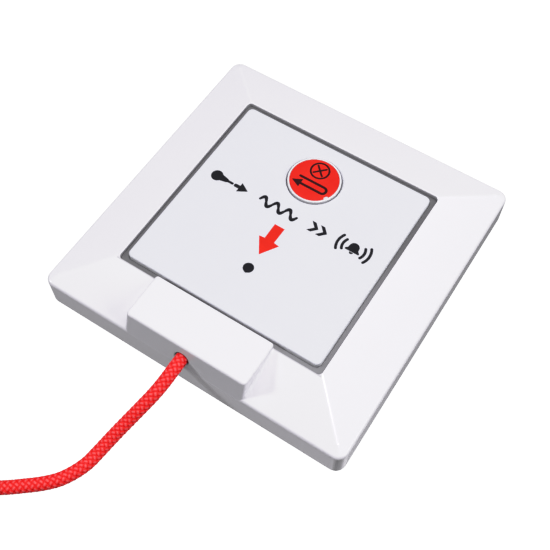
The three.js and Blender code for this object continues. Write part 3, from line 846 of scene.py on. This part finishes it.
# a circled cross
RING_X, RING_Y, CROSS, RING_LINE = -0.60, 18.57, 1.24, 0.52
button_sign("sign_ring", [
    ("loop", arc(RING_X, RING_Y, r=2.42, start=0, stop=354, steps=60), RING_LINE),
] + [
    ("line", [(RING_X - CROSS, RING_Y - dy), (RING_X + CROSS, RING_Y + dy)], RING_LINE)
    for dy in (CROSS, -CROSS)])

# a return arrow
HOOK_X, HOOK_Y, HOOK_R = 3.05, 13.63, 1.0
hook = [(x, HOOK_Y - HOOK_R) for x in np.linspace(-3.45, HOOK_X, 14)]
hook += arc(HOOK_X, HOOK_Y, HOOK_R, start=-90, stop=90, steps=14)[1:]
hook += [(x, HOOK_Y + HOOK_R) for x in np.linspace(2.75, -4.05, 14)]
button_sign("sign_return", [("line", hook, 0.72),
                            ("fill", [(-2.85, 14.03), (-5.45, 12.63), (-2.85, 11.43)])])

# ---------------------------------------------------------------- cord
CORD_POINTS = np.array([          # x, y, z of the centre line, from inside the frame outwards
    (-1.15, -31.2, 10.5), (-1.15, -36, 10.5), (-1.15, -40, 10.5),
    (-1.15, -43.35, 10.5), (-1.15, -45.4, 10.45), (-1.27, -49.0, 10.02),
    (-1.7, -52.5, 9.3), (-2.79, -56.54, 7.64), (-3.99, -60.26, 5.74),
    (-4.97, -63.41, 4.2), (-5.74, -66.38, 2.97), (-6.38, -69.56, 2.15),
    (-6.84, -72.15, 1.85), (-7.94, -75.34, 1.78), (-9.83, -78.74, 1.78),
    (-12.52, -81.65, 1.78), (-15.62, -84.27, 1.78), (-18.81, -86.78, 1.78),
    (-22.21, -89.09, 1.78), (-25.9, -91.01, 1.78), (-29.9, -92.64, 1.78),
])
CORD_STEP, CORD_AROUND = 0.085, 112    # ring spacing, and points in a ring
SPLIT_Y = -48.9                   # where the near piece meets the far one
STRANDS, PITCH = 6, 1.36          # strands each way round, and the length between crossings
RELIEF = 0.28                     # depth of the braid
TIP = 1.3                         # length of the rounded end


def path_length(points):
    """distance along a path at each of its points"""
    return np.concatenate([[0], np.cumsum(np.linalg.norm(np.diff(points, axis=0), axis=1))])


def cord_line():
    """smooth centre line through the points, in even steps, and the distance along it"""
    pts = CORD_POINTS
    t = path_length(pts)
    m = np.zeros_like(pts)
    m[1:-1] = (pts[2:] - pts[:-2]) / (t[2:] - t[:-2])[:, None]
    m[0] = (pts[1] - pts[0]) / (t[1] - t[0])
    m[-1] = (pts[-1] - pts[-2]) / (t[-1] - t[-2])
    u = np.linspace(0, t[-1], 4000)
    i = np.clip(np.searchsorted(t, u, side="right") - 1, 0, len(t) - 2)
    h = (t[i + 1] - t[i])[:, None]
    s = ((u - t[i]) / (t[i + 1] - t[i]))[:, None]
    p = ((2 * s**3 - 3 * s**2 + 1) * pts[i] + (s**3 - 2 * s**2 + s) * h * m[i]
         + (-2 * s**3 + 3 * s**2) * pts[i + 1] + (s**3 - s**2) * h * m[i + 1])
    length = path_length(p)
    even = np.linspace(0, length[-1], int(length[-1] / CORD_STEP) + 1)
    return np.stack([np.interp(even, length, p[:, k]) for k in range(3)], 1), even


def braid(angle, s):
    """plain braid at an angle and a distance along: its height, the place across the top
    strand, and the crest of each float, where the cord's material paints a highlight"""
    a = STRANDS * angle / (2 * np.pi) + s / PITCH
    b = STRANDS * angle / (2 * np.pi) - s / PITCH
    i, j = np.floor(a), np.floor(b)
    across_a, across_b = a - i - 0.5, b - j - 0.5
    lift_a = (1 - 2 * (i % 2)) * np.cos(np.pi * (b - 0.5))
    lift_b = -(1 - 2 * (j % 2)) * np.cos(np.pi * (a - 0.5))
    height_a, height_b = [
        0.55 * lift + 0.85 * np.sqrt(np.clip(1 - (2 * across) ** 2, 0.0, 1))
        for lift, across in ((lift_a, across_a), (lift_b, across_b))]
    a_on_top = height_a >= height_b
    across = np.where(a_on_top, across_a, across_b)
    lift = np.where(a_on_top, lift_a, lift_b)
    crest = np.clip(1 - (across / 0.26) ** 2, 0, 1) * np.clip((lift - 0.15) / 0.6, 0, 1)
    height = np.clip(np.where(a_on_top, height_a, height_b) / 1.4, 0, 1)
    return height, across, crest


def cord_mesh(name, line, distance, start, stop, rounded_end=False):
    """the braided cord between two distances along its line"""
    tangent = unit(np.gradient(line, axis=0))
    side = unit(np.cross(tangent, np.array([0, 0, 1.0])))
    over = np.cross(side, tangent)
    keep = (distance >= start - 1e-9) & (distance <= stop + 1e-9)
    line, tangent, side, over, distance = [
        part[keep] for part in (line, tangent, side, over, distance)]

    angle = 2 * np.pi * np.arange(CORD_AROUND) / CORD_AROUND
    height, across, crest = braid(angle[None, :], distance[:, None])
    radius = (CORD_R - RELIEF) + RELIEF * height
    if rounded_end:
        k = np.clip((distance[-1] - distance)[:, None] / TIP, 0, 1)
        radius = radius * (0.50 + 0.50 * np.sqrt(1 - (1 - k) ** 2)) - 0.10 * (1 - k)
        height = height * np.clip(k + 0.35, 0, 1)
    spoke = (np.cos(angle)[None, :, None] * side[:, None, :]
             + np.sin(angle)[None, :, None] * over[:, None, :])
    rings = line[:, None, :] + radius[..., None] * spoke

    verts = (rings.reshape(-1, 3) * MM).tolist()
    faces = tube_faces(len(line), CORD_AROUND)
    first, last = len(verts), len(verts) + 1
    last_ring = first - CORD_AROUND
    bulge = 0.12 if rounded_end else 0.0
    verts += [(line[0] * MM).tolist(), ((line[-1] + tangent[-1] * bulge) * MM).tolist()]
    for k in range(CORD_AROUND):
        k2 = (k + 1) % CORD_AROUND
        faces.append((first, k2, k))
        faces.append((last, last_ring + k, last_ring + k2))
    ob = mesh_object(name, verts, faces)
    for key, values in (("braid_h", height), ("braid_u", across), ("braid_c", crest)):
        attribute = ob.data.attributes.new(key, "FLOAT", "POINT")
        values = np.concatenate([values.ravel(), [0.3, 0.3]])
        attribute.data.foreach_set("value", values.astype(np.float32))
    return ob


line, distance = cord_line()
split = float(distance[np.argmin(np.abs(line[:, 1] - SPLIT_Y))])
near = cord_mesh("cord_near_braid", line, distance, 0.0, split)
far = cord_mesh("cord_far_braid", line, distance, split, distance[-1], rounded_end=True)
for ob in (near, far):
    paint(ob, "cord")
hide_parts("cord_lead", "cord_neck")
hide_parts("cord_tail")
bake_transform(near)
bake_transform(far)


# ---------------------------------------------------------------- return spring
SPRING_R, SPRING_WIRE, SPRING_TURNS = 2.55, 0.5, 4.5
SPRING_GAP = 0.03                 # clearance at each end
WIRE_AROUND, STEPS_PER_TURN = 20, 40


def spring_mesh(name, y0, y1):
    """compression spring along Y with its end turns closed and ground flat"""
    steps = int(SPRING_TURNS * STEPS_PER_TURN)
    t = np.linspace(0, 1, steps + 1)
    flat = 0.75 / SPRING_TURNS
    e = np.clip((t - flat) / (1 - 2 * flat), 0, 1)
    rise = e * e * (3 - 2 * e) * 0.35 + e * 0.65
    y = (y0 + SPRING_WIRE / 2) + (y1 - y0 - SPRING_WIRE) * rise
    a = 2 * np.pi * SPRING_TURNS * t
    centre = np.stack([CORD_X + SPRING_R * np.cos(a), y, CORD_Z + SPRING_R * np.sin(a)], 1)
    tangent = unit(np.gradient(centre, axis=0))
    outward = np.stack([np.cos(a), np.zeros(steps + 1), np.sin(a)], 1)
    side = unit(np.cross(tangent, outward))
    out = np.cross(side, tangent)
    verts = []
    for i in range(steps + 1):
        for k in range(WIRE_AROUND):
            w = 2 * math.pi * k / WIRE_AROUND
            v = centre[i] + SPRING_WIRE / 2 * (math.cos(w) * out[i] + math.sin(w) * side[i])
            v[1] = min(max(v[1], y0), y1)
            verts.append(tuple(v * MM))
    faces = tube_faces(steps + 1, WIRE_AROUND)
    faces.append(tuple(range(WIRE_AROUND)))
    faces.append(tuple(range(steps * WIRE_AROUND, (steps + 1) * WIRE_AROUND))[::-1])
    return mesh_object(name, verts, faces, sharp=60)


low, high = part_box("return_spring")
spring = spring_mesh("return_spring_coil", low.y * 1000 + SPRING_GAP,
                     high.y * 1000 - SPRING_GAP)
fit(spring, "spring", "return_spring", "housing")
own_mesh(spring)

# ---------------------------------------------------------------- CAD nodes that stay
FINISHES = {
    "base": ["wall_base"],
    "carrier": ["panel_carrier"],
    "led": ["status_led"],
    "board": ["circuit_board"],
    "black": ["encoder_chip", "cancel_switch_body", "cancel_switch_plunger",
              "call_switch_body", "call_switch_plunger"],
    "tin": ["saw_resonator", "board_screw_1", "board_screw_2", "board_screw_3",
            "board_screw_4", "battery_contact_positive"],
    "sleeve": ["buffer_capacitor"],
    "copper": ["antenna_coil"],
    "wrap": ["battery"],
    "spring": ["battery_spring_negative"],
    "slider": ["pull_slider"],
    "brass": ["cord_ferrule"],
}
for material, names in FINISHES.items():
    for name in names:
        ob = cad_nodes[name]
        if not ob.material_slots:
            ob.data.materials.append(materials[material])
        for slot in ob.material_slots:
            slot.material = materials[material]

bevel = cad_nodes["wall_base"].modifiers.new("soft_edges", "BEVEL")
bevel.width = 0.00018
bevel.segments = 2
bevel.limit_method = "ANGLE"
bevel.angle_limit = math.radians(50)
bevel.harden_normals = False

# ---------------------------------------------------------------- floor
# brightness of the studio mirrored in the glossy plastic, by compass direction of the
# mirrored ray (degrees from +X)
MIRROR = [(-180, 0.50), (-150, 0.56), (-114, 0.90), (-95, 1.40), (-58, 0.26), (-5, 0.26),
          (16, 1.0), (62, 1.2), (71, 0.03), (80, 0.00), (84, 0.24), (180, 0.50)]
FLOOR_HALF, FLOOR_Z = 3.0, -0.0002     # metres


def floor_material():
    """a white floor to the camera, a darker table to bounced light and a studio to reflections"""
    n = Shader("m_floor")
    n.tree.nodes.remove(n.principled)
    ray = n.node("ShaderNodeLightPath").outputs

    white = n.fill(n.node("ShaderNodeBsdfDiffuse"), Color=(0.80, 0.80, 0.81))
    glow = n.fill(n.node("ShaderNodeEmission"), Color=(1, 1, 1), Strength=1.30)
    seen = n.mix_shader(0.93, white, glow)

    # the table is darker on the +X side of the object
    tone = n.span(n.xyz(n.place)["X"], source=(0.040, 0.050), to=(0.32, 0.02))
    bounce = n.fill(n.node("ShaderNodeBsdfDiffuse"), Color=tone)

    incoming = n.xyz(n.node("ShaderNodeNewGeometry").outputs["Incoming"])
    x, y = [n.math("MULTIPLY", incoming[axis], -1.0) for axis in "XY"]
    turn = n.span(n.math("ARCTAN2", y, x), source=(-math.pi, math.pi))
    studio = n.ramp(turn, [((degrees + 180) / 360, (v, v * 0.975, v * 1.015))
                           for degrees, v in MIRROR])
    # the studio is darker where a mirrored ray runs out at a low angle
    low_angle = n.span(incoming["Z"], source=(0.66, 0.84), to=(0.15, 1.0))
    mirrored = n.fill(n.node("ShaderNodeEmission"), Color=studio, Strength=low_angle)

    other = n.mix_shader(ray["Is Glossy Ray"], bounce, mirrored)
    n.surface(n.mix_shader(ray["Is Camera Ray"], other, seen))
    n.material.cycles.emission_sampling = "NONE"
    return n.material


floor_mesh = bpy.data.meshes.new("floor")
floor_mesh.from_pydata([(x * FLOOR_HALF, y * FLOOR_HALF, FLOOR_Z)
                        for x, y in ((-1, -1), (1, -1), (1, 1), (-1, 1))], [], [(0, 1, 2, 3)])
floor = add_object("floor", floor_mesh)
floor.data.materials.append(floor_material())
floor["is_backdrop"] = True

# ---------------------------------------------------------------- world and lights
WORLD_LIGHT, WORLD_SEEN = 0.04, 1.25   # strength as a light, and as the camera sees it

scene = bpy.context.scene
world = bpy.data.worlds.new("studio")
scene.world = world
world.use_nodes = True
tree = world.node_tree
background = tree.nodes["Background"]
light_path = tree.nodes.new("ShaderNodeLightPath")
strength = tree.nodes.new("ShaderNodeMix")
strength.data_type = "FLOAT"
strength.inputs[2].default_value = WORLD_LIGHT
strength.inputs[3].default_value = WORLD_SEEN
tree.links.new(light_path.outputs["Is Camera Ray"], strength.inputs[0])
tree.links.new(strength.outputs[0], background.inputs["Strength"])
background.inputs["Color"].default_value = (1.0, 0.995, 1.0, 1)

LIGHTS = [                        # name, place, target, size in metres, watts, colour
    ("top_box", (-0.02, 0.16, 0.70), (0, 0, 0), 0.95, 4.55, (1, 1, 1)),
    ("over", (0.14, -0.01, 0.70), (0, 0, 0), 0.09, 1.25, (1.0, 0.96, 1.0)),
    ("right", (0.60, 0.05, 0.35), (0, 0, 0), 0.40, 2.1, (0.97, 1.0, 0.98)),
    ("key", (-0.58, -0.38, 0.42), (0, 0, 0.01), 0.12, 2.05, (0.97, 1.0, 1.0)),
]
for name, place, target, size, power, color in LIGHTS:
    light = bpy.data.lights.new(name, "AREA")
    light.shape = "SQUARE"
    light.size = size
    light.energy = power
    light.color = color
    lamp = add_object(name, light)
    lamp.location = place
    lamp.rotation_mode = "QUATERNION"
    lamp.rotation_quaternion = (Vector(target) - Vector(place)).to_track_quat("-Z", "Y")

# ---------------------------------------------------------------- view
# a gentle contrast curve, as (scene value, shown value): firm mid greys, rolled off whites
TONE = [(0.10, 0.075), (0.20, 0.155), (0.30, 0.24), (0.40, 0.33), (0.50, 0.45), (0.60, 0.585),
        (0.70, 0.705), (0.80, 0.80), (0.87, 0.85), (0.95, 0.885), (1.05, 0.94)]
WHITE = 1.25                      # scene value at the curve's right-hand end

view = scene.view_settings
view.view_transform = "Standard"
view.look = "None"
view.exposure = 0.0
view.gamma = 1.0
view.use_curve_mapping = True
mapping = view.curve_mapping
mapping.white_level = (WHITE, WHITE, WHITE)
mapping.use_clip = False
curve = mapping.curves[3]
curve.points[0].location = (0.0, 0.0)
curve.points[-1].location = (1.0, 1.05)
for value, shown in TONE:
    curve.points.new(value / WHITE, shown)
mapping.update()

# ---------------------------------------------------------------- camera
camera = bpy.data.cameras.new("camera")
camera.sensor_width = 36.0
camera.sensor_fit = "HORIZONTAL"
camera.lens = 57.9499
camera.clip_start = 0.01
camera.clip_end = 20.0
scene.camera = add_object("camera", camera)
scene.camera.matrix_world = Matrix((
    (0.8406768, -0.4730589, 0.2635862, 0.0623248),
    (0.5415220, 0.7307214, -0.4156923, -0.1019308),
    (0.0040388, 0.4922006, 0.8704724, 0.1998369),
    (0.0, 0.0, 0.0, 1.0)))

# ---------------------------------------------------------------- bounds of the shown objects
low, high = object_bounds()
